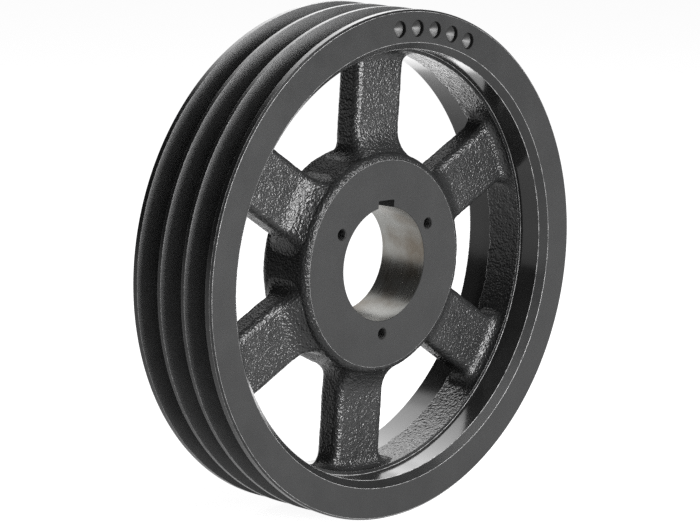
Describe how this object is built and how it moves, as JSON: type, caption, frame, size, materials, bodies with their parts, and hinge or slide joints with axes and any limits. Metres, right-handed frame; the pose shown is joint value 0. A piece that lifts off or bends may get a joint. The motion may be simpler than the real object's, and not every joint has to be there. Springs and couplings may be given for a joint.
{
  "type": "v-belt pulley",
  "caption": "Spoked cast-iron V-belt pulley with parallel grooves, a bored and keyed hub with tapped holes, and drilled balance holes in the rim.",
  "frame": {"origin": "on the wheel's axis, midway between the two rim faces", "axes": "Y along the wheel's axis, -Y out of the front, where the tapped holes are; +Z at twelve o'clock, where the keyway is"},
  "size_m": [0.2922, 0.0636, 0.2922],
  "materials": {
    "machined_iron": "machined grey iron under a thin dark phosphate coat, satin",
    "as_cast_iron": "rough sand-cast grey iron under the same dark coat"
  },
  "bodies": {
    "root": {"hub": "machined_iron", "front_flange": "machined_iron", "front_rib": "machined_iron", "rear_rib": "machined_iron", "rear_flange": "machined_iron", "rim_band": "as_cast_iron", "arm_12": "as_cast_iron", "arm_02": "as_cast_iron", "arm_04": "as_cast_iron", "arm_06": "as_cast_iron", "arm_08": "as_cast_iron", "arm_10": "as_cast_iron"}
  },
  "joints": []
}
